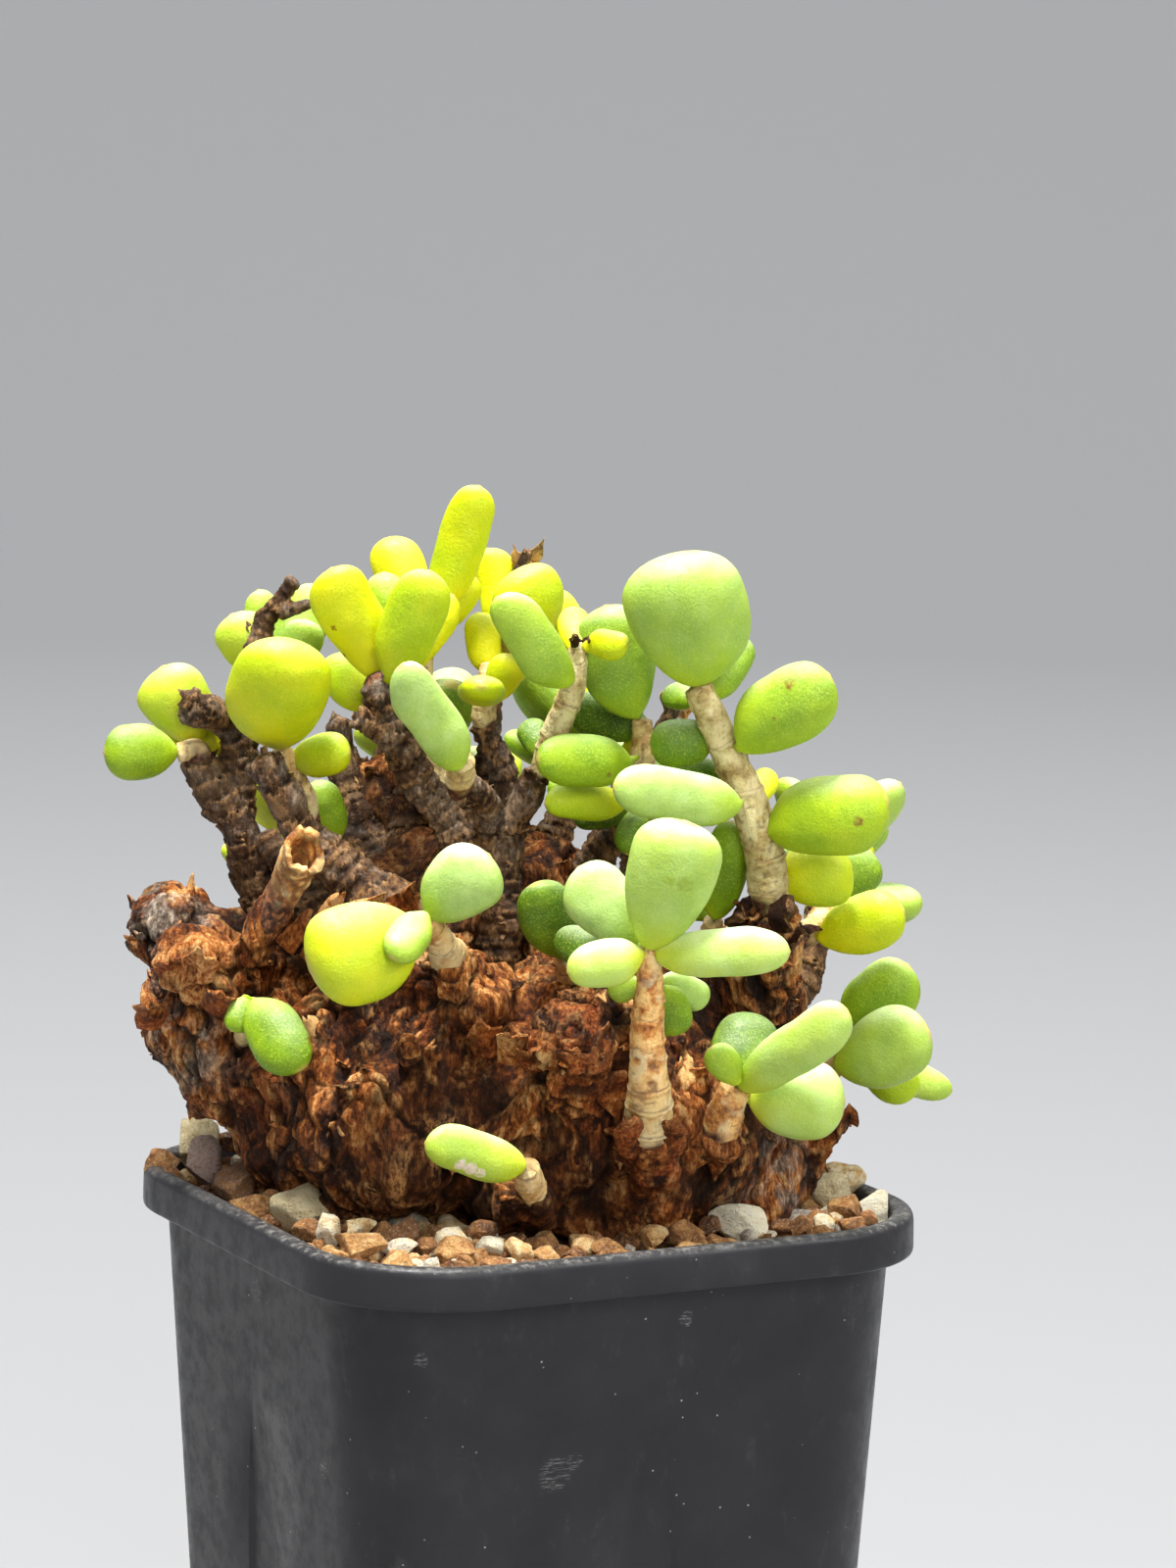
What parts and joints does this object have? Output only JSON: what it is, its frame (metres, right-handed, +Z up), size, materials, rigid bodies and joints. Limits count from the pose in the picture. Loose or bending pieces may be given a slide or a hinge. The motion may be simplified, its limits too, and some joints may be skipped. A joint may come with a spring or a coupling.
{
  "type": "potted ceraria pygmaea",
  "caption": "Dwarf succulent with a squat woody caudex, stubby limbs and fat oval leaves, standing in stone grit in a square tapered plastic pot.",
  "frame": {"origin": "centre of the pot's flat underside, on the surface that the pot stands on", "axes": "+Z up, -Y towards the viewer of the plant's front, +X to the viewer's right; the square pot is turned 26.5 degrees about Z"},
  "size_m": [0.0924, 0.0828, 0.1509],
  "materials": {
    "pot": "dusty satin",
    "bark": "rough flaking bark",
    "grit": "rough",
    "pale_stone": "rough",
    "brown_stone": "rough",
    "yellow_leaf": "waxy",
    "green_leaf": "waxy with pale bloom"
  },
  "bodies": {
    "root": {"pot": "pot", "caudex": "bark", "stone_cream_front": "pale_stone", "stone_brown_left": "brown_stone", "stone_cream_left": "pale_stone", "stone_purple_left": "brown_stone", "stone_brown_front": "brown_stone", "stone_white_front": "pale_stone", "stone_white_right": "pale_stone", "stone_cream_right": "pale_stone", "stone_white_far_right": "pale_stone", "grit": "grit", "shoot_front_centre": "green_leaf", "shoot_front_right": "green_leaf", "shoot_front_left": "yellow_leaf", "shoot_low_front": "green_leaf", "shoot_low_left": "green_leaf", "shoot_right": "green_leaf", "shoot_centre": "green_leaf", "shoot_inner_left": "green_leaf", "shoot_inner_right": "green_leaf", "shoot_yellow_top": "yellow_leaf", "shoot_left_leaves": "yellow_leaf", "shoot_far_left": "yellow_leaf", "shoot_top": "yellow_leaf", "shoot_middle": "yellow_leaf", "shoot_upper_middle": "yellow_leaf", "shoot_left_back": "yellow_leaf", "shoot_shaded": "green_leaf", "shoot_under_leaf": "green_leaf", "shoot_right_shade": "green_leaf", "shoot_right_side": "green_leaf", "shoot_low_right": "green_leaf", "shoot_far_01": "green_leaf", "shoot_far_02": "green_leaf", "shoot_far_03": "green_leaf", "shoot_far_04": "green_leaf", "shoot_far_05": "green_leaf", "shoot_far_06": "green_leaf"}
  },
  "joints": []
}
